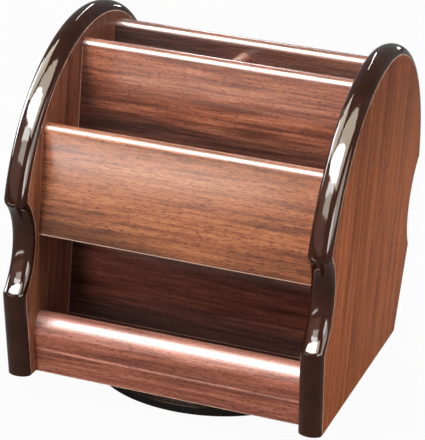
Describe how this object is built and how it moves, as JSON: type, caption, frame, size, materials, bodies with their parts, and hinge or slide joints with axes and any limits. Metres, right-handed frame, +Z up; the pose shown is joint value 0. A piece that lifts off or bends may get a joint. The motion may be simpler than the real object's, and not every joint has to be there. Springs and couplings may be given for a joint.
{
  "type": "rotating desk organizer",
  "caption": "Wooden desk organizer with arched sides, upright pockets, an open bin and small drawers behind, turning on a round ball-bearing base.",
  "frame": {"origin": "on the table, under the turning axis", "axes": "+X to the right, -Y to the front (open bin side), +Z up along the turning axis"},
  "size_m": [0.166, 0.1898, 0.1897],
  "materials": {
    "walnut_board": "red-brown walnut grain laminate, satin",
    "dark_moulding": "very dark brown, high gloss",
    "beech_dowel": "plain",
    "drawer_ply": "thin clear varnish",
    "black_disc": "black paint, satin",
    "foam_pad": "fine foam",
    "aluminium_ring": "turned",
    "steel": "zinc plated",
    "nylon_cage": "matt"
  },
  "bodies": {
    "base": {"anti_slip_pads": "foam_pad", "base_disc": "black_disc", "disc_screws": "steel", "bearing_inner_ring": "aluminium_ring"},
    "ball_ring": {"ball_cage": "nylon_cage", "bearing_balls": "steel"},
    "carcass": {"bearing_outer_ring": "aluminium_ring", "outer_ring_screws": "steel", "joining_dowels": "beech_dowel", "left_edge_moulding": "dark_moulding", "right_edge_moulding": "dark_moulding", "left_side_panel": "walnut_board", "right_side_panel": "walnut_board", "base_board": "walnut_board", "front_rail": "walnut_board", "front_pocket_panel": "walnut_board", "front_pocket_shelf": "walnut_board", "front_partition": "walnut_board", "rear_partition": "walnut_board", "centre_divider": "walnut_board", "middle_shelf": "walnut_board", "rear_pocket_panel": "walnut_board", "drawer_bay_divider": "walnut_board", "rear_plinth": "walnut_board"},
    "left_drawer": {"left_drawer_front": "walnut_board", "left_drawer_inner_side": "drawer_ply", "left_drawer_outer_side": "drawer_ply", "left_drawer_back": "drawer_ply", "left_drawer_bottom": "drawer_ply", "left_drawer_knob": "dark_moulding", "left_drawer_knob_screw": "steel"},
    "right_drawer": {"right_drawer_front": "walnut_board", "right_drawer_inner_side": "drawer_ply", "right_drawer_outer_side": "drawer_ply", "right_drawer_back": "drawer_ply", "right_drawer_bottom": "drawer_ply", "right_drawer_knob": "dark_moulding", "right_drawer_knob_screw": "steel"}
  },
  "joints": [
    {"name": "turntable_spin", "type": "hinge", "parent": "base", "child": "carcass", "pos_m": [0, 0, 0.0115], "axis": [0, 0, 1], "continuous": true},
    {"name": "ball_ring_spin", "type": "hinge", "parent": "base", "child": "ball_ring", "pos_m": [0, 0, 0.0115], "axis": [0, 0, 1], "continuous": true},
    {"name": "left_drawer_slide", "type": "slide", "parent": "carcass", "child": "left_drawer", "axis": [0, 1, 0], "range_m": [0, 0.07]},
    {"name": "right_drawer_slide", "type": "slide", "parent": "carcass", "child": "right_drawer", "axis": [0, 1, 0], "range_m": [0, 0.07]}
  ],
  "couplings": [
    {"joint": "ball_ring_spin", "follows": "turntable_spin", "ratio": 0.53}
  ]
}
